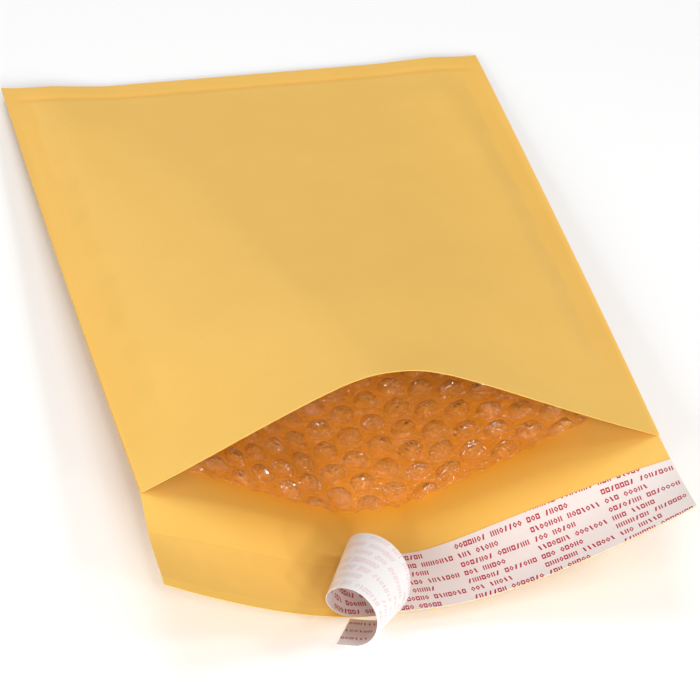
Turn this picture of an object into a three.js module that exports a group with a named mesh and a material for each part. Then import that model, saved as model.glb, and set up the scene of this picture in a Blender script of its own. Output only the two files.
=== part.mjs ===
// Padded envelope: a self-seal kraft mailer lined with bubble film, lying on its back with its mouth
// sprung open and the flap's release liner peeled half way and curled up.
//
// Millimetres, +Z up. X runs across the envelope, the closed end is at +Y, the mouth and the flap are at
// -Y, and the envelope rests on the flat valley down the middle of its back panel. The origin is under
// the middle of the whole outline, at the floor.
//
// Every sheet is laid out on two lengths measured along the paper: u across from the centre line, and v
// from the closed end towards the flap. A sheet is two skins over one grid of (u, v), closed at its rim.
import * as THREE from 'three';

// Driving dimensions.
const WIDTH = 216; // flat width, side seam to side seam
const BODY = 280; // flat length, closed end to mouth
const FLAP = 50; // flap beyond the mouth
const HALF = WIDTH / 2;

const PAPER = 0.4; // kraft paper
const FILM = 0.35; // bubble film where it is pressed flat in a seam
const BUBBLE = 3.7; // bubble film with its domes
const GLUE = 0.25; // adhesive on the flap
const LINER = 0.3; // release liner over the adhesive
const GAP = 0.4; // between sheets that lie on each other

const SIDE_SEAM = 8; // width of the pressed side seam
const END_SEAM = 5; // width of the pressed closed end
const SIDE_SWELL = 16; // from the side seam in to the full height of the padding
const END_SWELL = 14; // the same from the closed end

const FRONT_LIP = 5; // bare paper between the front lining and the mouth
const BACK_LIP = 11; // the same on the back lining's centre line
const BACK_LIP_RETREAT = 14; // which draws back by this much more at the side seams
const LINER_WIDTH = 35; // up to the flap's outer edge
const GLUE_INSET = 5; // from the liner's edges in to the adhesive's

// How the mouth springs open. A slope is the steepest angle of a cross-section, in radians.
const END_SLOPE = 0.085; // both panels at the closed end, where the corners just lift
const BACK_SLOPE = 0.406; // back panel at the mouth
const FRONT_SLOPE = 0.48; // front panel at the mouth
const FLAP_SLOPE = 0.493; // flap at its outer edge
const END_FLAT = 60; // half width of the level band at the closed end
const BACK_FLAT = 8; // the same at the mouth, on the back panel
const FRONT_FLAT = 2; // and on the front panel
const BACK_ROUND = 3; // how softly the back panel turns up out of its valley
const FRONT_ROUND = 21.5; // how softly the front panel turns over its ridge
const FLAP_ROUND = 51; // the flap's outer edge is an open curve
const SEAM_LEVELLING = 0.5; // share of its slope that the back panel loses again at its seams
const OPENING_GROWTH = 0.86; // power by which the opening grows towards the mouth
const FLAP_LIFT = 7.3; // the flap's outer edge springs up off the floor
const VALLEY_SHIFT = -8.5; // the mouth gapes a little to the left: the back panel's valley there
const RIDGE_SHIFT = -6.3; // and the front panel's ridge
const TWIST = [0.017, 0.004, -0.035]; // lean to the right at the closed end, mouth and edge, in radians

// The peeled half of the release liner, from the line where it leaves the flap to its cut end.
const PEEL_U = -15.4; // where the liner's middle leaves the adhesive
const CURL_LENGTH = 84; // peeled length
const TAIL = 7.7; // last straight part
const CURL_BEND = [0.111, 0, 0.079, 0.103]; // bend in radians per mm, cubic control values along it
const CURL_SKEW = [0.417, 0.72, -1.256]; // tilt of the bend lines in radians, quadratic along it
const PEEL_BLEND = 20; // length over which the liner leaves the flap's own shape

const STEPS_ACROSS = 18;
const STEPS_ALONG = 11;
const STEPS_FLAP = 10;
const STEPS_CURL = 30;

const mix = (a, b, t) => a + (b - a) * t;
const clamp = (t) => Math.min(1, Math.max(0, t));
const ease = (t) => clamp(t) ** 2 * (3 - 2 * clamp(t));
const evenly = (from, to, steps) => Array.from({ length: steps + 1 }, (_, i) => mix(from, to, i / steps));

// Half a cross-section, from the centre line out to u: level, then turning up over `round` towards its
// slope, and levelling off again at the seam. Returns how far across and how far up the paper comes.
function section(u, { slope, round, flat, levelling }) {
  const reach = HALF - flat;
  const run = Math.max(0, Math.abs(u) - flat);
  const steps = 24;
  let across = Math.min(Math.abs(u), flat);
  let up = 0;
  for (let i = 0; i < steps; i += 1) {
    const s = (run * (i + 0.5)) / steps;
    const turn = (s / Math.hypot(s, round)) * (Math.hypot(reach, round) / reach);
    const angle = slope * turn * (1 - levelling * (s / reach) ** 3);
    across += (Math.cos(angle) * run) / steps;
    up += (Math.sin(angle) * run) / steps;
  }
  return { x: Math.sign(u) * across, z: up };
}

const openingAt = (v) => Math.min(1, v / BODY) ** OPENING_GROWTH;

// Moves the middle of a row sideways by the share that it is open, and leans what lies outside its level
// band: one side rises by what the other sinks.
function settle({ x, z }, v, shift) {
  const [end, mouth, edge] = TWIST;
  const lean = mix(mix(end, mouth, clamp(v / BODY)), edge, clamp((v - BODY) / FLAP));
  const level = mix(END_FLAT, BACK_FLAT, openingAt(v));
  const sink = HALF * lean * clamp((Math.abs(x) - level) / (HALF - level)) ** 1.5;
  return { x: x + shift * openingAt(v) * (1 - (x / HALF) ** 2) + z * lean, z: z - Math.sign(x) * sink };
}

// Underside of the back panel before it settles; the flap carries on past the mouth.
function backRow(u, v) {
  const opening = openingAt(v);
  const outward = ease((v - BODY) / FLAP);
  const { x, z } = section(u, {
    slope: mix(mix(END_SLOPE, BACK_SLOPE, opening), FLAP_SLOPE, outward),
    round: mix(BACK_ROUND, FLAP_ROUND, outward),
    flat: mix(END_FLAT, BACK_FLAT, opening),
    levelling: SEAM_LEVELLING * opening * (1 - outward),
  });
  return { x, z: z + FLAP_LIFT * clamp((v - BODY) / FLAP) ** 1.5 };
}

const backSection = (u, v) => settle(backRow(u, v), v, VALLEY_SHIFT);

// Bubble film from its pressed rim to its full height.
function filmThickness(u, v) {
  const side = ease((HALF - Math.abs(u) - SIDE_SEAM) / SIDE_SWELL);
  const end = ease((v - END_SEAM) / END_SWELL);
  return mix(FILM, BUBBLE, side * end);
}

// Top of the front panel: it lies on the padding near the closed end and arches up towards the mouth.
function frontSection(u, v) {
  const opening = openingAt(v);
  const shape = {
    slope: mix(END_SLOPE, FRONT_SLOPE, opening),
    round: FRONT_ROUND,
    flat: mix(END_FLAT, FRONT_FLAT, opening),
    levelling: 0,
  };
  const { x, z } = backRow(u, v);
  const seam = backRow(HALF, v).z;
  const arch = section(HALF, shape).z - section(u, shape).z;
  const open = ease(4 * opening) * (seam + arch - z);
  const closed = 2 * (PAPER + GAP + filmThickness(u, v)) + GAP;
  return settle({ x, z: z + Math.max(closed, open) }, v, RIDGE_SHIFT);
}

// One lengthwise thread of the paper. It keeps its length, so where it climbs it falls short in Y.
function thread(u, stations, sectionAt) {
  let y = BODY;
  let last = null;
  return stations.map((v) => {
    const { x, z } = sectionAt(u, v);
    if (last) y -= Math.sqrt((v - last.v) ** 2 - (x - last.x) ** 2 - (z - last.z) ** 2);
    last = { u, v, x, y, z };
    return last;
  });
}

const ACROSS = evenly(-HALF, HALF, STEPS_ACROSS);
const ALONG = [0, END_SEAM, END_SEAM + END_SWELL / 2, ...evenly(END_SEAM + END_SWELL, BODY, STEPS_ALONG)];
const OUTWARD = evenly(BODY, BODY + FLAP, STEPS_FLAP).slice(1);

const transpose = (table) => table[0].map((_, i) => table.map((row) => row[i]));
const raise = (rows, height) => rows.map((row) => row.map((p) => ({ ...p, z: p.z + height(p.u, p.v) })));

// A closed body between two skins, given as rows of matching points, rows along v and points along u.
function between(lower, upper) {
  const rows = lower.length;
  const cols = lower[0].length;
  const positions = [...lower.flat(), ...upper.flat()].flatMap((p) => [p.x, p.y, p.z]);
  const low = (i, j) => i * cols + j;
  const high = (i, j) => rows * cols + i * cols + j;
  const index = [];
  const quad = (a, b, c, d) => index.push(a, b, c, a, c, d);
  for (let i = 0; i < rows - 1; i += 1) {
    for (let j = 0; j < cols - 1; j += 1) {
      quad(low(i, j), low(i, j + 1), low(i + 1, j + 1), low(i + 1, j));
      quad(high(i, j), high(i + 1, j), high(i + 1, j + 1), high(i, j + 1));
    }
    quad(low(i, 0), low(i + 1, 0), high(i + 1, 0), high(i, 0));
    quad(low(i + 1, cols - 1), low(i, cols - 1), high(i, cols - 1), high(i + 1, cols - 1));
  }
  for (let j = 0; j < cols - 1; j += 1) {
    quad(low(0, j + 1), low(0, j), high(0, j), high(0, j + 1));
    quad(low(rows - 1, j), low(rows - 1, j + 1), high(rows - 1, j + 1), high(rows - 1, j));
  }
  const geometry = new THREE.BufferGeometry();
  geometry.setAttribute('position', new THREE.Float32BufferAttribute(positions, 3));
  geometry.setIndex(index);
  geometry.computeVertexNormals();
  return geometry;
}

// A sheet whose threads may each end at a v of their own.
function sheet(sectionAt, stationsAt, bottom, top) {
  const rows = transpose(ACROSS.map((u) => thread(u, stationsAt(u), sectionAt)));
  return between(raise(rows, bottom), raise(rows, top));
}

// The body's stations, with the last one moved back from the mouth to v.
const endAt = (v) => [...ALONG.slice(0, -1), v];

function frontPanel() {
  return sheet(frontSection, () => ALONG, () => -PAPER, () => 0);
}

function backPanel() {
  return sheet(backSection, () => [...ALONG, ...OUTWARD], () => 0, () => PAPER);
}

function frontLining() {
  const top = -PAPER - GAP;
  const stations = endAt(BODY - FRONT_LIP);
  return sheet(frontSection, () => stations, (u, v) => top - filmThickness(u, v), () => top);
}

function backLining() {
  const bottom = PAPER + GAP;
  const stationsAt = (u) => endAt(BODY - BACK_LIP - BACK_LIP_RETREAT * (u / HALF) ** 2);
  return sheet(backSection, stationsAt, () => bottom, (u, v) => bottom + filmThickness(u, v));
}

function adhesiveStrip() {
  const bottom = PAPER + GAP;
  const inner = BODY + FLAP - LINER_WIDTH + GLUE_INSET;
  const covered = (v) => v >= inner && v <= BODY + FLAP - GLUE_INSET;
  const rows = transpose(ACROSS.map((u) => thread(u, [...ALONG, ...OUTWARD], backSection)));
  const strip = rows.filter((row) => covered(row[0].v));
  return between(raise(strip, () => bottom), raise(strip, () => bottom + GLUE));
}

// Middle of the liner's thickness where it lies on the flap.
function linerOnFlap(u, v) {
  const p = thread(u, [...ALONG, BODY + (v - BODY) / 2, v], backSection).at(-1);
  return new THREE.Vector3(p.x, p.y, p.z + PAPER + 2 * GAP + GLUE + LINER / 2);
}

const PEEL_V = BODY + FLAP - LINER_WIDTH / 2;

// Place and directions of the liner where it leaves the flap: on along the liner, across it towards the
// flap's outer edge, and up out of it.
function peelFrame() {
  const on = linerOnFlap(PEEL_U - 1, PEEL_V).sub(linerOnFlap(PEEL_U + 1, PEEL_V)).normalize();
  const side = linerOnFlap(PEEL_U, PEEL_V + 4).sub(linerOnFlap(PEEL_U, PEEL_V - 4));
  const up = side.clone().cross(on).normalize();
  return { at: linerOnFlap(PEEL_U, PEEL_V), on, side: on.clone().cross(up), up };
}

const skewAt = (s) => {
  const t = clamp(s / CURL_LENGTH);
  return CURL_SKEW[0] + CURL_SKEW[1] * t + CURL_SKEW[2] * t * t;
};

function bendAt(s) {
  const t = clamp(s / (CURL_LENGTH - TAIL));
  const [a, b, c, d] = CURL_BEND;
  const r = 1 - t;
  const bend = a * r ** 3 + 3 * b * t * r * r + 3 * c * t * t * r + d * t ** 3;
  return Math.max(0, bend) * (1 - ease((s - CURL_LENGTH + TAIL + 2) / 4));
}

// The liner's middle line, bending up and over from the peel line. Bend lines are skewed, so that the
// roll runs off sideways past the flap's edge and its tail hangs free.
function middleLine() {
  const step = 0.5;
  const frames = [peelFrame()];
  for (let s = 0; s < CURL_LENGTH; s += step) {
    const { at, on, side, up } = frames.at(-1);
    const axis = side.clone().negate().addScaledVector(on, -Math.tan(skewAt(s + step / 2)));
    const angle = bendAt(s + step / 2) * step * axis.length();
    axis.normalize();
    const turned = on.clone().applyAxisAngle(axis, angle);
    frames.push({
      at: at.clone().addScaledVector(on, step / 2).addScaledVector(turned, step / 2),
      on: turned,
      side: side.clone().applyAxisAngle(axis, angle),
      up: up.clone().applyAxisAngle(axis, angle),
    });
  }
  return { frames, step };
}

// A point of the liner, s along it from the peel line and h across it. Behind the peel line it keeps to
// the flap, and past it each point lies on the bend line that crosses it.
function linerPoint(s, h, { frames, step }) {
  let foot = s;
  for (let i = 0; i < 12; i += 1) foot = s - h * Math.tan(skewAt(foot));
  const place = clamp(foot / (step * (frames.length - 1))) * (frames.length - 1);
  const near = frames[Math.floor(place)];
  const far = frames[Math.ceil(place)];
  const t = place % 1;
  const at = near.at.clone().lerp(far.at, t);
  const on = near.on.clone().lerp(far.on, t);
  const side = near.side.clone().lerp(far.side, t);
  const past = foot - place * step;
  const ruled = at.addScaledVector(on, past + h * Math.tan(skewAt(foot))).addScaledVector(side, h);

  const start = frames[0];
  const level = start.at.clone().addScaledVector(start.on, s).addScaledVector(start.side, h);
  const rest = linerOnFlap(Math.max(-HALF, PEEL_U - s), PEEL_V + h);
  return ruled.addScaledVector(rest.sub(level), 1 - ease(foot / PEEL_BLEND));
}

function releaseLiner() {
  const line = middleLine();
  const stuck = ACROSS.filter((u) => u > PEEL_U + 10).reverse().map((u) => PEEL_U - u);
  const stations = [...stuck, ...evenly(-10, CURL_LENGTH, STEPS_CURL)];
  const offsets = evenly(-LINER_WIDTH / 2, LINER_WIDTH / 2, 7);
  const point = (s, h) => linerPoint(s, h, line);
  const skin = (height) =>
    stations.map((s) =>
      [...offsets].reverse().map((h) => {
        const on = point(s + 0.5, h).sub(point(s - 0.5, h));
        const side = point(s, h + 0.5).sub(point(s, h - 0.5));
        return point(s, h).addScaledVector(side.cross(on).normalize(), height);
      }),
    );
  return between(skin(-LINER / 2), skin(LINER / 2));
}

const kraft = () => new THREE.MeshStandardMaterial({ color: 0xf0bf60, roughness: 0.75, metalness: 0 });
const bubbleFilm = () => new THREE.MeshStandardMaterial({ color: 0xd08a45, roughness: 0.2, metalness: 0 });
const hotMelt = () => new THREE.MeshStandardMaterial({ color: 0xecc27a, roughness: 0.3, metalness: 0 });
const coatedPaper = () => new THREE.MeshStandardMaterial({ color: 0xebd9d2, roughness: 0.45, metalness: 0 });

const pieces = [
  ['back_panel', backPanel(), kraft()],
  ['front_panel', frontPanel(), kraft()],
  ['back_bubble_lining', backLining(), bubbleFilm()],
  ['front_bubble_lining', frontLining(), bubbleFilm()],
  ['adhesive_strip', adhesiveStrip(), hotMelt()],
  ['release_liner', releaseLiner(), coatedPaper()],
];

const envelope = new THREE.Group();
for (const [name, geometry, material] of pieces) {
  const piece = new THREE.Mesh(geometry, material);
  piece.name = name;
  envelope.add(piece);
}

// The origin goes under the middle of the outline.
const outline = new THREE.Box3().setFromObject(envelope);
const middle = outline.getCenter(new THREE.Vector3());
envelope.position.set(-middle.x, -middle.y, -outline.min.z);

const part = new THREE.Group();
part.add(envelope);

export default part;
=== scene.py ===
# %% [markdown]
# # A padded envelope
# The object is a self-seal mailer: golden kraft paper outside, bubble film inside, and a flap with a
# strip of adhesive under a release liner. It lies on its back with its mouth sprung open, and the liner
# is peeled half way and has curled into a roll. Everything here is thin sheet, so the lesson is about
# one idea: cut a flat sheet, then bend it into place with hardly any stretch.

# %% Load the frame
import math
import bpy
import numpy as np
from mathutils import Matrix, Vector


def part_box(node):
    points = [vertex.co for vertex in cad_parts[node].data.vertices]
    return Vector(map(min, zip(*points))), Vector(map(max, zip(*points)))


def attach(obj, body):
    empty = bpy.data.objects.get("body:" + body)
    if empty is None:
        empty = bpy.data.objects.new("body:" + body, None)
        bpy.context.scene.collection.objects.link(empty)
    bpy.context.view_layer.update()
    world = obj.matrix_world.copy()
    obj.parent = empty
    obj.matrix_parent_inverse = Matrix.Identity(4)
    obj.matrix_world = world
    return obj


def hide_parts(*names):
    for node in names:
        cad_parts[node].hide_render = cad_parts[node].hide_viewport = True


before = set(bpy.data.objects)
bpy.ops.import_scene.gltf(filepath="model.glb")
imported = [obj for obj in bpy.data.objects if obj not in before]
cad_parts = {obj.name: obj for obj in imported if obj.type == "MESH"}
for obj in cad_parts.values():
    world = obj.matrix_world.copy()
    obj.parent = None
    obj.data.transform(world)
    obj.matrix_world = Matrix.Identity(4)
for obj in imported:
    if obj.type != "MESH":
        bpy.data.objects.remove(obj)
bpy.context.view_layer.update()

scene = bpy.context.scene

# %% [markdown]
# ## Driving sizes
# Paper is measured flat. u runs across from the centre line and v runs from the closed end to the flap,
# both along the paper. The numbers below are the flat sizes and the few slopes that say how far the
# mouth has sprung open. All other shapes are worked out from them.

# %% Driving sizes
HALF = 0.108  # half of the flat width, centre line to side seam
BODY = 0.280  # flat length, closed end to mouth
FLAP = 0.050  # flap beyond the mouth
PAPER = 0.00022
SIDE_SEAM, SIDE_SWELL = 0.008, 0.020  # pressed band, then the rise to the full padding
END_SEAM, END_SWELL = 0.006, 0.035
SQUASHED = 0.5  # share of its height that the padding keeps where the panels lie on it
PRESSED, BUBBLE = 0.0001, 0.0039  # bubble film in a seam, and with its domes
LINER_WIDTH = 0.035

END_SLOPE, BACK_SLOPE, FRONT_SLOPE, FLAP_SLOPE = 0.085, 0.406, 0.48, 0.493
END_FLAT, BACK_FLAT, FRONT_FLAT = 0.060, 0.008, 0.002
BACK_ROUND, FRONT_ROUND, FLAP_ROUND = 0.003, 0.0215, 0.051
BACK_LIP, BACK_LIP_RETREAT = 0.011, 0.014  # bare paper past the film: on the centre line, more at the sides
FRONT_LIP = 0.005
SKIN_GAP = 0.0001  # between sheets that lie on each other
SEAM_LEVELLING = 0.5
OPENING_GROWTH = 0.86
FLAP_LIFT = 0.0073
VALLEY_SHIFT, RIDGE_SHIFT = -0.0085, -0.0063  # the mouth gapes a little to the left
TWIST = (0.017, 0.004, -0.035)  # lean to the right at the closed end, mouth and edge

closed_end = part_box("back_panel")[1][1]
print("closed end at y =", round(closed_end, 4), "mouth line near y =", round(closed_end - BODY, 4))

# %% [markdown]
# ## Camera
# The view is from above and a little to the left of the mouth, through a long lens, with the camera
# rolled slightly. The camera looks at a point on the floor near the origin.

# %% Camera
AZIMUTH, ELEVATION, ROLL = math.radians(-18.49), math.radians(42.56), math.radians(6.83)
DISTANCE, LENS = 1.3562, 171.5
target = Vector((0.0055, -0.0001, 0.0))
back = Vector((
    math.sin(AZIMUTH) * math.cos(ELEVATION),
    -math.cos(AZIMUTH) * math.cos(ELEVATION),
    math.sin(ELEVATION),
))
level_right = Vector((0, 0, 1)).cross(back).normalized()
right = Matrix.Rotation(ROLL, 3, back) @ level_right
camera_data = bpy.data.cameras.new("camera")
camera_data.lens = LENS
camera = bpy.data.objects.new("camera", camera_data)
scene.collection.objects.link(camera)
camera.matrix_world = Matrix.Translation(target + back * DISTANCE) @ Matrix(
    (right, back.cross(right), back)
).transposed().to_4x4()
scene.camera = camera
print("camera at", [round(c, 3) for c in camera.location])

# %% [markdown]
# ## How a sheet bends
# A cross-section of a sprung envelope is level in the middle, turns up, and may level off again where
# it is sealed to the other panel. Its slope is a formula in u, and adding up small steps along that
# slope keeps the paper's width. It could be drawn by hand with curves, but then the paper would stretch,
# and a printed or padded pattern on it would show that. The last step, which moves the middle sideways and
# twists the rows, does stretch the paper slightly near its seams.

# %% A cross-section
ACROSS = np.linspace(-HALF, HALF, 433)
OUTWARD = ACROSS[216:]

def mix(a, b, t):
    return a + (b - a) * t

def ease(t):
    t = np.clip(t, 0, 1)
    return t * t * (3 - 2 * t)

def cross_section(slope, rounding, flat, levelling):
    """How far across and how far up the paper has come at each distance in ACROSS."""
    run = np.maximum(0, OUTWARD - flat)
    reach = HALF - flat
    turn = run / np.hypot(run, rounding) * np.hypot(reach, rounding) / reach
    angle = slope * turn * (1 - levelling * (run / reach) ** 3)
    middle = (angle[1:] + angle[:-1]) / 2
    across = np.cumsum(np.cos(middle)) * OUTWARD[1]
    up = np.cumsum(np.sin(middle)) * OUTWARD[1]
    return np.concatenate([-across[::-1], [0], across]), np.concatenate([up[::-1], [0], up])

# %% [markdown]
# ## The two panels' shapes
# The back panel lies on the floor along its valley and rises to its side seams. The front panel rests
# on the padding at the closed end and arches up towards the mouth. Lengthwise threads of the paper keep
# their length too, so where one climbs it falls short in y. That sets the arched mouth back, as on the
# real thing.

# %% Rows of the back and the front panel
def opening_at(v):
    return min(1, v / BODY) ** OPENING_GROWTH

def settle(across, up, v, shift):
    """Move the middle of a row sideways, and let one side rise by what the other sinks."""
    opening = opening_at(v)
    lean = np.interp(v, (0, BODY, BODY + FLAP), TWIST)
    level = mix(END_FLAT, BACK_FLAT, opening)
    sink = HALF * lean * np.clip((np.abs(across) - level) / (HALF - level), 0, 1) ** 1.5
    moved = across + shift * opening * (1 - (across / HALF) ** 2) + up * lean
    return moved, up - np.sign(across) * sink

def back_before(v):
    opening, outward = opening_at(v), ease((v - BODY) / FLAP)
    across, up = cross_section(
        mix(mix(END_SLOPE, BACK_SLOPE, opening), FLAP_SLOPE, outward),
        mix(BACK_ROUND, FLAP_ROUND, outward),
        mix(END_FLAT, BACK_FLAT, opening),
        SEAM_LEVELLING * opening * (1 - outward),
    )
    return across, up + FLAP_LIFT * np.clip((v - BODY) / FLAP, 0, 1) ** 1.5

def back_row(v):
    return settle(*back_before(v), v, VALLEY_SHIFT)

def padding(u, v):
    """Thickness of the bubble film at (u, v)."""
    side = ease((HALF - np.abs(u) - SIDE_SEAM) / SIDE_SWELL)
    return mix(PRESSED, BUBBLE, side * ease((v - END_SEAM) / END_SWELL))

def front_row(v):
    opening = opening_at(v)
    across, low = back_before(v)
    slope, flat = mix(-END_SLOPE, FRONT_SLOPE, opening), mix(END_FLAT, FRONT_FLAT, opening)
    arch = cross_section(slope, mix(BACK_ROUND, FRONT_ROUND, opening), flat, 0)[1]
    lens = low[-1] + arch[-1] - arch - low
    still_padded = 1 - ease((v - BODY + 0.08) / 0.06)
    closed = 2 * (PAPER + SQUASHED * padding(ACROSS, v) * still_padded) + SKIN_GAP
    blend = 0.004 * ease((HALF - np.abs(ACROSS)) / 0.025) * still_padded
    height = (closed + lens + np.hypot(closed - lens, blend)) / 2
    return settle(across, low + height, v, RIDGE_SHIFT)

# %% Lay the rows out along the paper
def lay(row_at, length):
    stations = np.linspace(0, length, round(length * 1000) + 1)
    across, up = (np.array(part) for part in zip(*(row_at(v) for v in stations)))
    gone = np.diff(stations)[:, None] ** 2 - np.diff(across, axis=0) ** 2 - np.diff(up, axis=0) ** 2
    along = np.vstack([np.zeros(len(ACROSS)), np.cumsum(np.sqrt(gone), axis=0)])
    return stations, np.stack([across, closed_end - along, up], axis=2)

back_shape = lay(back_row, BODY + FLAP)
front_shape = lay(front_row, BODY)

def place(shape, u, v):
    """Points of a laid sheet at the flat places (u, v)."""
    stations, points = shape
    u, v = np.asarray(u, float), np.asarray(v, float)
    i = np.clip(v / stations[-1], 0, 1) * (len(stations) - 1)
    j = np.clip(u / HALF + 1, 0, 2) / 2 * (len(ACROSS) - 1)
    i0 = np.minimum(i.astype(int), len(stations) - 2)
    j0 = np.minimum(j.astype(int), len(ACROSS) - 2)
    a, b = (i - i0)[..., None], (j - j0)[..., None]
    near = points[i0, j0] * (1 - b) + points[i0, j0 + 1] * b
    far = points[i0 + 1, j0] * (1 - b) + points[i0 + 1, j0 + 1] * b
    return near * (1 - a) + far * a

ridge = place(front_shape, np.array([0.0]), np.array([BODY]))[0]
print("top of the mouth at", ridge.round(4))

# %% [markdown]
# ## Cutting a sheet
# Each sheet starts as a flat grid of its real size, so its flat coordinates are known at every point.
# They are kept in a UV map in metres, which lets fibre and print follow the paper. Then each point
# moves to its bent place, and Solidify gives the sheet its thickness below the skin that was laid.

# %% Cut, bend and thicken
def cut_sheet(name, low, high, cell):
    """A flat grid from corner low to corner high, both (x, y), with square cells of about this size."""
    bpy.ops.object.select_all(action="DESELECT")
    width, length = high[0] - low[0], high[1] - low[1]
    cells = round(width / cell), round(length / cell)
    bpy.ops.mesh.primitive_grid_add(x_subdivisions=cells[0], y_subdivisions=cells[1], size=1)
    sheet = bpy.context.object
    sheet.name = sheet.data.name = name
    bpy.ops.object.mode_set(mode="EDIT")
    bpy.ops.transform.resize(value=(width, length, 1))
    centre = ((low[0] + high[0]) / 2, (low[1] + high[1]) / 2, 0)
    bpy.ops.transform.translate(value=centre)
    bpy.ops.object.mode_set(mode="OBJECT")
    return sheet

def points_of(piece):
    flat = np.empty(len(piece.data.vertices) * 3)
    piece.data.vertices.foreach_get("co", flat)
    return flat.reshape(-1, 3)

def move_points(piece, points):
    piece.data.vertices.foreach_set("co", points.ravel())
    piece.data.update()

def keep_flat_map(piece, flat):
    """Store the flat coordinates of each point in the piece's UV map, in metres."""
    corners = np.empty(len(piece.data.loops), dtype=np.int32)
    piece.data.loops.foreach_get("vertex_index", corners)
    piece.data.uv_layers.active.name = "flat"
    piece.data.uv_layers["flat"].data.foreach_set("uv", flat[corners, :2].ravel())

def thicken(piece, thickness, under_slot=0):
    solid = piece.modifiers.new("thickness", "SOLIDIFY")
    solid.thickness = thickness
    solid.offset = -1
    solid.material_offset = under_slot
    solid.material_offset_rim = under_slot
    bpy.ops.object.modifier_apply(modifier=solid.name)
    bpy.ops.object.shade_smooth_by_angle(angle=math.radians(40))

# %% [markdown]
# ## Kraft paper
# Kraft is pressed wood fibre: short pale and dark fibres lie mostly one way, over a faint cloudiness
# from the pulp. A bitmap scan would show it too, but noise stretched along the sheet has no edge and no
# resolution. The clouds and the fibres are one node group, because both sides of both panels use it.

# %% Node helpers
def new_group(name, inputs, outputs):
    group = bpy.data.node_groups.new(name, "ShaderNodeTree")
    for socket, kind, value in inputs:
        made = group.interface.new_socket(socket, in_out="INPUT", socket_type=kind)
        made.default_value = value
    for socket in outputs:
        group.interface.new_socket(socket, in_out="OUTPUT", socket_type="NodeSocketFloat")
    return group

def add(tree, kind, inputs=None, **settings):
    """Add a node, set its options, and fill its inputs with values or with links."""
    node = tree.nodes.new(kind)
    for key, value in settings.items():
        setattr(node, key, value)
    for key, value in (inputs or {}).items():
        if isinstance(value, bpy.types.NodeSocket):
            tree.links.new(value, node.inputs[key])
        else:
            node.inputs[key].default_value = value
    return node

def math_node(tree, operation, a, b=0.0):
    return add(tree, "ShaderNodeMath", {0: a, 1: b}, operation=operation).outputs[0]

def new_material(name, colour, roughness):
    material = bpy.data.materials.new(name)
    material.use_nodes = True
    shader = material.node_tree.nodes["Principled BSDF"]
    shader.inputs["Base Color"].default_value = (*colour, 1)
    shader.inputs["Roughness"].default_value = roughness
    return material, material.node_tree, shader

# %% Pulp group: clouds and fibres
pulp = new_group(
    "pulp",
    [("Place", "NodeSocketVector", (0, 0, 0)), ("Fibre Length", "NodeSocketFloat", 1.0)],
    ["Clouds", "Fibres", "Height"],
)
inside = add(pulp, "NodeGroupInput")
clouds = add(pulp, "ShaderNodeTexNoise",
             {"Vector": inside.outputs["Place"], "Scale": 45.0, "Detail": 5.0, "Roughness": 0.6})
stretch = add(pulp, "ShaderNodeVectorMath",
              {0: inside.outputs["Place"], 1: (1600.0, 260.0, 260.0)}, operation="MULTIPLY")
fibres = add(pulp, "ShaderNodeTexNoise",
             {"Vector": stretch.outputs[0], "Scale": 1.0, "Detail": 3.0, "Roughness": 0.65})
tooth = add(pulp, "ShaderNodeTexNoise",
            {"Vector": inside.outputs["Place"], "Scale": 900.0, "Detail": 2.0})
height = math_node(pulp, "ADD", math_node(pulp, "MULTIPLY", fibres.outputs[0], 0.7),
                   math_node(pulp, "MULTIPLY", tooth.outputs[0], 0.3))
outside = add(pulp, "NodeGroupOutput")
pulp.links.new(clouds.outputs[0], outside.inputs["Clouds"])
pulp.links.new(fibres.outputs[0], outside.inputs["Fibres"])
pulp.links.new(height, outside.inputs["Height"])

# %% Kraft material
def kraft_paper():
    material, tree, shader = new_material("kraft_paper", (0.86, 0.52, 0.13), 0.62)
    flat = add(tree, "ShaderNodeUVMap", uv_map="flat")
    grain = add(tree, "ShaderNodeGroup", {"Place": flat.outputs[0]}, node_tree=pulp)
    cloudy = add(tree, "ShaderNodeMix", {6: (0.845, 0.500, 0.098, 1), 7: (0.885, 0.545, 0.124, 1),
                 0: grain.outputs["Clouds"]}, data_type="RGBA")
    fibre_share = add(tree, "ShaderNodeMapRange",
                      {0: grain.outputs["Fibres"], 1: 0.60, 2: 0.85, 3: 0.0, 4: 0.35})
    fibrous = add(tree, "ShaderNodeMix", {0: fibre_share.outputs[0], 6: cloudy.outputs[2],
                  7: (0.66, 0.37, 0.085, 1)}, data_type="RGBA")
    # Painted shade: this attribute mixes in a darker, more orange paper colour, as painted shade on the
    # back panel and for the pressed seams of the front panel.
    pressed_and_painted_shade = add(tree, "ShaderNodeAttribute", attribute_name="pressed_and_painted_shade")
    colour = add(tree, "ShaderNodeMix", {0: pressed_and_painted_shade.outputs["Fac"], 6: fibrous.outputs[2],
                 7: (0.91, 0.38, 0.026, 1)}, data_type="RGBA")
    tree.links.new(colour.outputs[2], shader.inputs["Base Color"])
    gloss = add(tree, "ShaderNodeMapRange", {0: grain.outputs["Clouds"], 3: 0.50, 4: 0.66})
    tree.links.new(gloss.outputs[0], shader.inputs["Roughness"])
    bump = add(tree, "ShaderNodeBump",
               {"Strength": 0.2, "Distance": 0.00005, "Height": grain.outputs["Height"]})
    tree.links.new(bump.outputs[0], shader.inputs["Normal"])
    shader.inputs["Specular IOR Level"].default_value = 0.35
    return material

kraft = kraft_paper()
print("kraft paper:", len(kraft.node_tree.nodes), "nodes")

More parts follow.
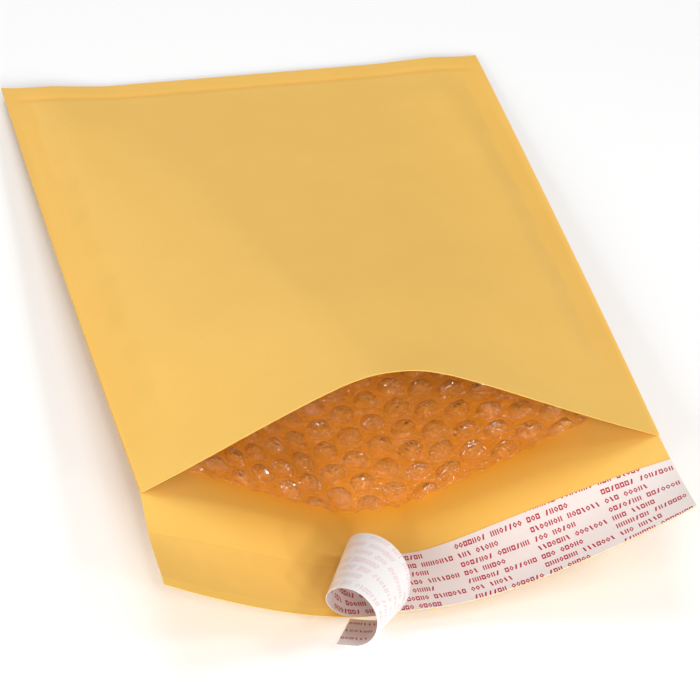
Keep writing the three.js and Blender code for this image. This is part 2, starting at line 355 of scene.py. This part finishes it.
# %% [markdown]
# ## Back panel and flap
# One sheet runs from the closed end past the mouth to the flap's outer edge. Under the film and close
# beside it the paper is painted a darker, more orange colour: painted shade of the pocket and of the front
# panel's edge. The bubbles are placed later on a lattice, which is worked out here because it also moves
# the front panel's paper by a few hundredths of a millimetre.

# %% Bubble lattice and its print on the paper
PITCH = 0.0127  # centre to centre along a row; rows run along the envelope
ROW_GAP = PITCH * math.sqrt(3) / 2

def nearest_bubble(u, v):
    """Distance from the closest bubble's centre."""
    best = np.full(np.shape(u), 1.0)
    row = np.round(u / ROW_GAP)
    for k in (-1, 0, 1):
        shift = np.mod(row + k, 2) / 2
        centre = (np.round(v / PITCH - shift) + shift) * PITCH
        best = np.minimum(best, np.hypot(u - (row + k) * ROW_GAP, v - centre))
    return best

def relief(u, v):
    """How far the bubbles push the paper out."""
    share = np.clip((padding(u, v) - PRESSED) / BUBBLE, 0, 1)
    return share * 0.00005 * (1 - ease(nearest_bubble(u, v) / (PITCH * 0.5)))

print("rows of bubbles:", 2 * int((HALF - SIDE_SEAM) / ROW_GAP) + 1)

# %% Back panel
def keep_pressed_and_painted_shade(piece, share):
    """Store per point the share of a darker, more orange paper colour: painted shade on the back panel,
    pressed seams and partly painted shade on the front.
    """
    piece.data.attributes.new("pressed_and_painted_shade", "FLOAT", "POINT").data.foreach_set("value", share)

def finish_piece(piece, nodes, slot, *materials):
    """Give the piece any materials that it still needs, put it on the root body and hide the frame's parts
    that it stands for.
    """
    for material in materials:
        piece.data.materials.append(material)
    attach(piece, "root")
    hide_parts(nodes)
    print(piece.name, len(piece.data.polygons), "faces")

BACK_GRID, PAINTED_SHADE_REACH = 0.002, 0.014

back_panel = cut_sheet("kraft_back", (-HALF, -BODY - FLAP), (HALF, 0), BACK_GRID)
flat = points_of(back_panel)
u, v = flat[:, 0], -flat[:, 1]
bent = place(back_shape, u, v)
bent[:, 2] += PAPER
move_points(back_panel, bent)
keep_flat_map(back_panel, flat)
# Painted shade: under the film, and fading over a few centimetres past its edge, the back panel is painted
# darker orange for the shade of the pocket and of the front panel's edge.
past_film = (v - BODY + BACK_LIP + BACK_LIP_RETREAT * (u / HALF) ** 2).clip(0, None)
keep_pressed_and_painted_shade(back_panel, np.exp(-past_film / PAINTED_SHADE_REACH) * ease((HALF - np.abs(u)) / 0.05))
thicken(back_panel, PAPER)
finish_piece(back_panel, "back_panel", "kraft_paper", kraft)

# %% [markdown]
# ## Front panel
# The front is the largest surface in view. Besides the bent shape it has the soft roll-off of the padding
# along its seams, the line that the closed end's seal presses into it, and the relief of the bubbles.
# The grid is finer here, so that these read in the light.

# %% Front panel
SEAL_LINE = 0.0102  # from the closed end
MARGIN = 0.0105  # bare seam beside the padding
SHOULDER = 0.0016  # rise from the seam to the padding
SEAL_DEPTH, SIDE_LINE_DEPTH = 0.00030, 0.00020
FRONT_GRID = 0.0012

front_panel = cut_sheet("kraft_front", (-HALF, -BODY), (HALF, 0), FRONT_GRID)
flat = points_of(front_panel)
u, v = flat[:, 0], -flat[:, 1]
bent = place(front_shape, u, v)
ragged = MARGIN + 0.0007 * np.sin(v * 95) + 0.0005 * np.sin(v * 260 + 1)
inside_margin = HALF - np.abs(u) - ragged
fade = 1 - ease((v - 0.20) / 0.07)
shoulder = SHOULDER * ease(inside_margin / 0.010) * fade * ease((v - SEAL_LINE) / 0.070)
seal = np.exp(-((v - SEAL_LINE) / 0.0017) ** 2) * ease((HALF - np.abs(u)) / 0.012)
side_line = np.exp(-(inside_margin / 0.0016) ** 2) * fade * ease((v - SEAL_LINE) / 0.006)
bent[:, 2] += relief(u, v) + shoulder - SEAL_DEPTH * seal - SIDE_LINE_DEPTH * side_line
move_points(front_panel, bent)
keep_flat_map(front_panel, flat)
# Colour: the bare seams are tinted darker as glued, pressed paper. The seal line is darkened partly as
# pressed paper and partly as painted shade of its groove.
beside = 1 - ease((inside_margin + 0.0005) / 0.0022)
margin = np.maximum(beside * (1 - ease((v - 0.23) / 0.05)), 1 - ease((v - SEAL_LINE) / 0.0012))
keep_pressed_and_painted_shade(front_panel, 0.10 * margin + 0.22 * seal)
thicken(front_panel, PAPER)
finish_piece(front_panel, "front_panel", "kraft_paper", kraft)

# %% [markdown]
# ## Bubble film
# Bubble film is two layers: a flat one against the paper and a formed one that makes the domes. One dome
# is modelled from a ring of twelve points, pulled up and in three times and closed at its top.
# It is then copied over the lattice, each copy stood on the bent sheet and crumpled a little, because
# no two real bubbles catch the light alike.

# %% One bubble
DOME = 0.0051  # radius
RIM_POINTS = 12
CRUMPLE = (0.00030, 0.00030, 0.06)  # across and along in metres, up as a share of the height
bpy.ops.object.select_all(action="DESELECT")
bpy.ops.mesh.primitive_circle_add(vertices=RIM_POINTS, radius=DOME, fill_type="NOTHING")
bubble = bpy.context.object
bpy.ops.object.mode_set(mode="EDIT")
bpy.ops.mesh.select_mode(type="EDGE")
bpy.ops.mesh.select_all(action="SELECT")
for rise, shrink in ((0.26, 0.90), (0.40, 0.76), (0.31, 0.50)):
    bpy.ops.mesh.extrude_edges_move(TRANSFORM_OT_translate={"value": (0, 0, rise)})
    bpy.ops.transform.resize(value=(shrink, shrink, 1))
bpy.ops.mesh.extrude_edges_move(TRANSFORM_OT_translate={"value": (0, 0, 0.03)})
bpy.ops.mesh.merge(type="CENTER")
bpy.ops.mesh.select_all(action="SELECT")
bpy.ops.mesh.normals_make_consistent(inside=False)
bpy.ops.object.mode_set(mode="OBJECT")
dome_points = points_of(bubble)
dome_faces = [tuple(face.vertices) for face in bubble.data.polygons]
bpy.data.objects.remove(bubble)
print("one bubble:", len(dome_points), "points,", len(dome_faces), "faces")

# %% Copy it over a sheet
def bubbles_on(name, shape, side, base, end_at, seed):
    """Domes over the lattice, standing off a laid sheet towards side (1 up, -1 down)."""
    rng = np.random.default_rng(seed)
    points, faces, crowns = [], [], []
    rows = int((HALF - SIDE_SEAM) / ROW_GAP)
    for row in range(-rows, rows + 1):
        for k in range(int(BODY / PITCH) + 1):
            u0, v0 = row * ROW_GAP, (k + row % 2 / 2) * PITCH
            gap = (place(front_shape, u0, v0) - place(back_shape, u0, v0))[2] - 2 * PAPER
            height = min(padding(u0, v0) * rng.uniform(0.66, 0.86), 0.48 * gap)
            if height < 0.3 * BUBBLE or v0 > end_at(u0) - 0.1 * DOME:
                continue
            dome = dome_points.copy()
            crumple = rng.normal(0, 1, dome.shape) * CRUMPLE
            dome[RIM_POINTS:] += crumple[RIM_POINTS:]
            lean = rng.normal(0, 0.06, 2) * DOME
            dome[:, :2] += dome[:, 2:] * lean
            across, along = u0 + dome[:, 0], v0 + dome[:, 1]
            stood = place(shape, across, np.minimum(along, end_at(across)))
            stood[:, 2] += base + side * dome[:, 2] * height
            first = len(points) * len(dome_points)
            faces += [tuple(i + first for i in face) for face in dome_faces]
            points.append(stood)
            crowns.append(dome_points[:, 2])
    mesh = bpy.data.meshes.new(name)
    mesh.from_pydata(np.concatenate(points).tolist(), [], faces)
    crown = mesh.attributes.new("crown", "FLOAT", "POINT")
    crown.data.foreach_set("value", np.concatenate(crowns))
    mesh.uv_layers.new(name="flat")
    mesh.polygons.foreach_set("use_smooth", [True] * len(mesh.polygons))
    piece = bpy.data.objects.new(name, mesh)
    scene.collection.objects.link(piece)
    print(name, len(points), "bubbles")
    return piece

# %% [markdown]
# ## Film material
# Clear film over kraft shows the kraft, and its own light only as glints. So the shader is mostly
# see-through with an orange tint, and it reflects more where the film is seen edge-on. The bubbles' tops
# are painted a little lighter, a painted highlight, and carry pale streaks painted into the colour, which
# stand in for the glints of folded film. A sharp crinkle breaks up the reflections.

# %% Film material
def creases(tree, where, scale, width):
    """Sharp little folds: 0 on a fold line, 1 away from it."""
    cells = add(tree, "ShaderNodeTexVoronoi", {"Vector": where, "Scale": scale},
                feature="DISTANCE_TO_EDGE")
    return add(tree, "ShaderNodeMapRange", {0: cells.outputs[0], 1: 0.0, 2: width}).outputs[0]

def bubble_film():
    material, tree, shader = new_material("bubble_film", (0.97, 0.37, 0.035), 0.32)
    crown = add(tree, "ShaderNodeAttribute", attribute_name="crown").outputs["Fac"]
    tops = add(tree, "ShaderNodeMapRange", {0: crown, 1: 0.55, 2: 1.0})
    # Painted highlight: the domes' tops get a lighter orange than the film between them.
    painted_top_light = add(tree, "ShaderNodeMix", {0: tops.outputs[0], 6: (0.95, 0.34, 0.025, 1),
               7: (1.0, 0.50, 0.07, 1)}, data_type="RGBA")
    cover = add(tree, "ShaderNodeMapRange", {0: tops.outputs[0], 3: 0.28, 4: 0.32})
    where = add(tree, "ShaderNodeTexCoord").outputs["Object"]
    warp = add(tree, "ShaderNodeTexNoise", {"Vector": where, "Scale": 160.0, "Detail": 2.0})
    moved = add(tree, "ShaderNodeVectorMath", {0: warp.outputs[1], 1: (0.010, 0.010, 0.010)},
                operation="MULTIPLY")
    bent = add(tree, "ShaderNodeVectorMath", {0: where, 1: moved.outputs[0]}, operation="ADD")
    drawn = add(tree, "ShaderNodeMapping", {0: bent.outputs[0], "Rotation": (0, 0, 0.5),
                "Scale": (1.0, 0.7, 1.0)})
    small = math_node(tree, "MULTIPLY", creases(tree, drawn.outputs[0], 620.0, 0.25), 0.5)
    large = creases(tree, drawn.outputs[0], 300.0, 0.3)
    fine = add(tree, "ShaderNodeTexNoise", {"Vector": drawn.outputs[0], "Scale": 420.0, "Detail": 1.0})
    height = math_node(tree, "ADD", math_node(tree, "ADD", small, large),
                       math_node(tree, "MULTIPLY", fine.outputs[0], 1.5))
    bump = add(tree, "ShaderNodeBump", {"Strength": 1.0, "Distance": 0.0009, "Height": height})
    tree.links.new(bump.outputs[0], shader.inputs["Normal"])
    shine = add(tree, "ShaderNodeBsdfAnisotropic", {"Roughness": 0.07, "Normal": bump.outputs[0]})
    edge_on = add(tree, "ShaderNodeFresnel", {"IOR": 1.5})
    mirrored = add(tree, "ShaderNodeMapRange", {0: edge_on.outputs[0], 3: 0.05, 4: 0.13})
    # Painted glints: pale streaks near the domes' tops are painted into the colour and made more opaque;
    # they also raise the share of real reflection.
    long_way = add(tree, "ShaderNodeMapping", {0: bent.outputs[0], "Rotation": (0, 0, 0.7),
                   "Scale": (330.0, 1300.0, 600.0)})
    folds = add(tree, "ShaderNodeTexNoise", {"Vector": long_way.outputs[0], "Scale": 1.0, "Detail": 1.0})
    glint_streaks = add(tree, "ShaderNodeMapRange", {0: folds.outputs[0], 1: 0.56, 2: 0.62})
    middle = add(tree, "ShaderNodeMapRange", {0: crown, 1: 0.80, 2: 0.97, 3: 0.14, 4: 0.80})
    on_top = math_node(tree, "MULTIPLY", glint_streaks.outputs[0], middle.outputs[0])
    painted_glint_colour = add(tree, "ShaderNodeMix", {0: on_top, 6: painted_top_light.outputs[2], 7: (1.0, 0.88, 0.70, 1)},
               data_type="RGBA")
    tree.links.new(painted_glint_colour.outputs[2], shader.inputs["Base Color"])
    denser = math_node(tree, "MULTIPLY", on_top, 0.6)
    tree.links.new(math_node(tree, "ADD", cover.outputs[0], denser), shader.inputs["Alpha"])
    share = math_node(tree, "ADD", mirrored.outputs[0], on_top)
    both = add(tree, "ShaderNodeMixShader", {0: share, 1: shader.outputs[0], 2: shine.outputs[0]})
    tree.links.new(both.outputs[0], tree.nodes["Material Output"].inputs["Surface"])
    return material

film = bubble_film()

# %% Linings
def back_end(u):
    ragged = 0.0006 * np.sin(u * 700) + 0.0004 * np.sin(u * 1900 + 1)
    return BODY - BACK_LIP - BACK_LIP_RETREAT * (u / HALF) ** 2 + ragged

def front_end(u):
    return BODY - FRONT_LIP + 0 * u

def flat_film(name, shape, base, end_at):
    """The film's flat layer, cut to end where its own edge is."""
    sheet = cut_sheet(name, (-HALF, -BODY), (HALF, 0), 0.002)
    flat = points_of(sheet)
    flat[:, 1] *= end_at(flat[:, 0]) / BODY
    laid = place(shape, flat[:, 0], -flat[:, 1])
    laid[:, 2] += base
    move_points(sheet, laid)
    keep_flat_map(sheet, flat)
    sheet.data.attributes.new("crown", "FLOAT", "POINT")  # stays 0: no dome here
    bpy.ops.object.shade_smooth()
    return sheet

def line_panel(name, node, shape, side, end_at, seed):
    base = side * (PAPER + SKIN_GAP)
    lining = flat_film(name, shape, base, end_at)
    domes = bubbles_on(name + "_domes", shape, side, base, end_at, seed)
    domes.select_set(True)
    lining.select_set(True)
    bpy.context.view_layer.objects.active = lining
    bpy.ops.object.join()
    lining.visible_shadow = False  # clear film hardly dims the light that passes it
    finish_piece(lining, node, "bubble_film", film)

line_panel("bubbles_back", "back_bubble_lining", back_shape, 1, back_end, 3)
line_panel("bubbles_front", "front_bubble_lining", front_shape, -1, front_end, 5)

# %% [markdown]
# ## Adhesive
# The strip of hot-melt on the flap is a clear, slightly wet-looking band. Its left half is bare, because
# the liner over it has been peeled.

# %% Adhesive strip
def hot_melt():
    material, tree, shader = new_material("adhesive", (0.90, 0.60, 0.20), 0.30)
    where = add(tree, "ShaderNodeUVMap", uv_map="flat")
    strings = add(tree, "ShaderNodeTexNoise",
                  {"Vector": where.outputs[0], "Scale": 120.0, "Detail": 4.0})
    bump = add(tree, "ShaderNodeBump",
               {"Strength": 0.4, "Distance": 0.0002, "Height": strings.outputs[0]})
    tree.links.new(bump.outputs[0], shader.inputs["Normal"])
    alpha = add(tree, "ShaderNodeMapRange", {0: strings.outputs[0], 3: 0.04, 4: 0.14})
    tree.links.new(alpha.outputs[0], shader.inputs["Alpha"])
    return material

GLUE_INSET, GLUE = 0.005, 0.0001
glue_low = BODY + FLAP - LINER_WIDTH + GLUE_INSET
adhesive = cut_sheet("adhesive_band", (-HALF, -BODY - FLAP + GLUE_INSET), (HALF, -glue_low), 0.0025)
flat = points_of(adhesive)
laid = place(back_shape, flat[:, 0], -flat[:, 1])
laid[:, 2] += PAPER + GLUE
move_points(adhesive, laid)
keep_flat_map(adhesive, flat)
bpy.ops.object.shade_smooth()
finish_piece(adhesive, "adhesive_strip", "adhesive", hot_melt())

# %% [markdown]
# ## Release liner
# The liner is a ribbon that never stretches: where it peels it bends about straight lines, and because
# those lines are skewed, the roll runs off sideways and its tail hangs past the flap. The middle line is
# stepped along in half millimetres, turning about the skewed line each time, and every other point of the
# ribbon lies on the bend line through it.

# %% The liner's middle line
PEEL_U = -0.0154
PEEL_V = BODY + FLAP - LINER_WIDTH / 2
CURL_LENGTH, TAIL = 0.084, 0.0077
CURL_BEND = (111, 0, 79, 103)  # radians per metre
CURL_SKEW = (0.417, 0.72, -1.256)
PEEL_BLEND = 0.020
LINER = 0.00014
STEP = 0.0005

def on_flap(u, v):
    point = place(back_shape, np.array([u]), np.array([v]))[0]
    return Vector(point) + Vector((0, 0, PAPER + GLUE + LINER + SKIN_GAP))

def skew_at(s):
    t = min(1, max(0, s / CURL_LENGTH))
    return CURL_SKEW[0] + CURL_SKEW[1] * t + CURL_SKEW[2] * t * t

def bend_at(s):
    t = min(1, max(0, s / (CURL_LENGTH - TAIL)))
    a, b, c, d = CURL_BEND
    bend = a * (1 - t) ** 3 + 3 * b * t * (1 - t) ** 2 + 3 * c * t * t * (1 - t) + d * t ** 3
    return bend * float(1 - ease((s - CURL_LENGTH + TAIL + 0.002) / 0.004))

def peel_frame():
    on = (on_flap(PEEL_U - 0.001, PEEL_V) - on_flap(PEEL_U + 0.001, PEEL_V)).normalized()
    across = on_flap(PEEL_U, PEEL_V + 0.004) - on_flap(PEEL_U, PEEL_V - 0.004)
    rise = on.cross(across).normalized()
    return on_flap(PEEL_U, PEEL_V), on, rise.cross(on)

middle_line = [peel_frame()]
for i in range(round(CURL_LENGTH / STEP)):
    at, on, across = middle_line[-1]
    s = (i + 0.5) * STEP
    axis = -across - on * math.tan(skew_at(s))
    turn = Matrix.Rotation(bend_at(s) * STEP * axis.length, 3, axis)
    middle_line.append((at + (on + turn @ on) * (STEP / 2), turn @ on, turn @ across))
print("liner's tail ends at", [round(c, 4) for c in middle_line[-1][0]])

# %% The liner's sheet
def liner_point(s, h):
    """A point s along the liner from the peel line and h across it."""
    foot = s
    for _ in range(12):
        foot = s - h * math.tan(skew_at(foot))
    spot = min(len(middle_line) - 1, max(0, foot / STEP))
    near, far = middle_line[math.floor(spot)], middle_line[math.ceil(spot)]
    at, on, across = (a.lerp(b, spot % 1) for a, b in zip(near, far))
    ruled = at + on * (foot - spot * STEP + h * math.tan(skew_at(foot))) + across * h
    start, ahead, beside = middle_line[0]
    rest = on_flap(max(-HALF, PEEL_U - s), PEEL_V + h) - (start + ahead * s + beside * h)
    return ruled + rest * float(1 - ease(foot / PEEL_BLEND))

liner = cut_sheet("liner", (PEEL_U - HALF, -LINER_WIDTH / 2), (CURL_LENGTH, LINER_WIDTH / 2), 0.00125)
flat = points_of(liner)
move_points(liner, np.array([liner_point(float(s), float(h)) for s, h, _ in flat]))
keep_flat_map(liner, flat)

# %% [markdown]
# ## Print on the liner
# Real liners carry rows of small print. Here the rows hold plain marks instead: slanted ticks, paired
# bars, boxes and lozenges in groups, each second row shifted by half a group. The pattern is worked out in
# the flat map, so it bends with the ribbon.

# %% Rows of marks
MARK_ROW, MARK_CELL, GROUP_CELLS = 0.005, 0.00175, 32

marks = new_group("rows_of_marks", [("Place", "NodeSocketVector", (0, 0, 0))], ["Ink"])
inside = add(marks, "NodeGroupInput")
turned = add(marks, "ShaderNodeMapping", {0: inside.outputs[0], "Rotation": (0, 0, math.radians(1.2))})
split = add(marks, "ShaderNodeSeparateXYZ", {0: turned.outputs[0]})
across_rows = math_node(marks, "ADD", math_node(marks, "DIVIDE", split.outputs[1], MARK_ROW), 0.5)
row = math_node(marks, "FLOOR", across_rows)
odd = math_node(marks, "PINGPONG", row, 1.0)
y = math_node(marks, "SUBTRACT", math_node(marks, "FRACT", across_rows), 0.5)
cells = math_node(marks, "ADD", math_node(marks, "DIVIDE", split.outputs[0], MARK_CELL),
                  math_node(marks, "MULTIPLY", odd, GROUP_CELLS / 2))
x = math_node(marks, "SUBTRACT", math_node(marks, "FRACT", cells), 0.5)
cell = math_node(marks, "FLOOR", cells)
spot = add(marks, "ShaderNodeCombineXYZ", {0: cell, 1: row})
pick = add(marks, "ShaderNodeTexWhiteNoise", {0: spot.outputs[0]}, noise_dimensions="2D").outputs[0]

# %% Shapes of the marks
def size_of(value):
    return math_node(marks, "ABSOLUTE", value)

def near(value, middle, reach):
    """1 where the value is within reach of the middle, else 0."""
    away = size_of(math_node(marks, "SUBTRACT", value, middle))
    return math_node(marks, "LESS_THAN", away, reach)

slant = math_node(marks, "SUBTRACT", math_node(marks, "MULTIPLY", odd, 1.2), 0.6)
lean = math_node(marks, "MULTIPLY", y, slant)
tick = near(math_node(marks, "SUBTRACT", x, lean), 0.0, 0.18)
pair = near(size_of(x), 0.25, 0.135)
spread = math_node(marks, "ADD", size_of(x), math_node(marks, "MULTIPLY", size_of(y), 1.5))
lozenge = near(spread, 0.33, 0.135)
frame_size = math_node(marks, "MAXIMUM", size_of(x), math_node(marks, "MULTIPLY", size_of(y), 1.45))
box = near(frame_size, 0.29, 0.125)
shape = tick
for share, other in ((0.25, box), (0.5, pair), (0.75, lozenge)):
    chosen = math_node(marks, "GREATER_THAN", pick, share)
    shape = add(marks, "ShaderNodeMix", {0: chosen, 2: shape, 3: other}).outputs[0]
in_row = near(y, 0.0, 0.26)
in_group = math_node(marks, "FRACT", math_node(marks, "DIVIDE", cell, GROUP_CELLS))
words = add(marks, "ShaderNodeValToRGB", {0: in_group})
words.color_ramp.interpolation = "CONSTANT"
words.color_ramp.elements[0].color = (1, 1, 1, 1)
words.color_ramp.elements[1].position = 5 / GROUP_CELLS
words.color_ramp.elements[1].color = (0, 0, 0, 1)
for at, value in ((6, 1), (9, 0), (10, 1), (17, 0), (18, 1), (25, 0)):
    words.color_ramp.elements.new((at - 0.02) / GROUP_CELLS).color = (value, value, value, 1)
ink = math_node(marks, "MULTIPLY", math_node(marks, "MULTIPLY", shape, in_row), words.outputs[0])
add(marks, "NodeGroupOutput", {0: ink})
print("rows of marks:", len(marks.nodes), "nodes")

# %% Liner materials
def coated_paper(name, sheet_colour, ink_colour, ink_share, roughness):
    material, tree, shader = new_material(name, sheet_colour, roughness)
    flat = add(tree, "ShaderNodeUVMap", uv_map="flat")
    print_rows = add(tree, "ShaderNodeGroup", {"Place": flat.outputs[0]}, node_tree=marks)
    grain = add(tree, "ShaderNodeGroup", {"Place": flat.outputs[0]}, node_tree=pulp)
    cloudy = add(tree, "ShaderNodeMix", {6: (*(c * 0.96 for c in sheet_colour), 1), 7: (*sheet_colour, 1),
                 0: grain.outputs["Clouds"]}, data_type="RGBA")
    share = math_node(tree, "MULTIPLY", print_rows.outputs["Ink"], ink_share)
    colour = add(tree, "ShaderNodeMix", {0: share, 6: cloudy.outputs[2], 7: (*ink_colour, 1)},
                 data_type="RGBA")
    tree.links.new(colour.outputs[2], shader.inputs["Base Color"])
    bump = add(tree, "ShaderNodeBump",
               {"Strength": 0.1, "Distance": 0.00004, "Height": grain.outputs["Height"]})
    tree.links.new(bump.outputs[0], shader.inputs["Normal"])
    return material

printed_face = coated_paper("liner_printed", (0.84, 0.75, 0.715), (0.45, 0.010, 0.04), 1.0, 0.42)
silicone_face = coated_paper("liner_back", (0.91, 0.90, 0.89), (0.78, 0.42, 0.48), 0.5, 0.28)

liner.data.materials.append(printed_face)
liner.data.materials.append(silicone_face)
thicken(liner, LINER, under_slot=1)
finish_piece(liner, "release_liner", "liner_paper")

# %% [markdown]
# ## Floor and light
# A plain pale floor and large soft lights: those above, in front and on the left do most of the work, and
# weaker ones stand on the right and behind. Four small lamps in front make glints on the film.

# %% Floor
bpy.ops.object.select_all(action="DESELECT")
bpy.ops.mesh.primitive_plane_add(size=12)
floor = bpy.context.object
floor.name = "floor"
floor.data.materials.append(new_material("floor", (0.93, 0.93, 0.93), 0.8)[0])

# %% Lights
LIGHTS_AIM = Vector((0, 0, 0.02))

def soft_light(name, at, size, watts):
    data = bpy.data.lights.new(name, "AREA")
    data.shape = "DISK"
    data.size = size
    data.energy = watts
    lamp = bpy.data.objects.new(name, data)
    scene.collection.objects.link(lamp)
    lamp.location = at
    lamp.rotation_euler = (LIGHTS_AIM - Vector(at)).to_track_quat("-Z", "Y").to_euler()

soft_light("key", (1.1, -0.5, 1.4), 0.5, 5)
soft_light("top", (-0.1, 0.8, 1.9), 1.2, 10)
soft_light("front", (-0.1, -1.8, 1.0), 0.6, 11)
soft_light("fill", (-1.3, -0.9, 0.9), 1.0, 9)
soft_light("behind", (-0.2, 1.7, 0.9), 0.8, 3)
SPARKS = ((0.45, -1.3, 0.9), (-0.25, -1.2, 1.3), (0.15, -1.5, 0.5), (-0.5, -1.4, 0.7))
for i, spot in enumerate(SPARKS):
    soft_light("spark_%d" % i, spot, 0.14, 3.2)

world = bpy.data.worlds.new("studio")
scene.world = world
world.use_nodes = True
sky = world.node_tree.nodes["Background"]
sky.inputs["Color"].default_value = (1, 1, 1, 1)
sky.inputs["Strength"].default_value = 0.31
scene.view_settings.view_transform = "Standard"
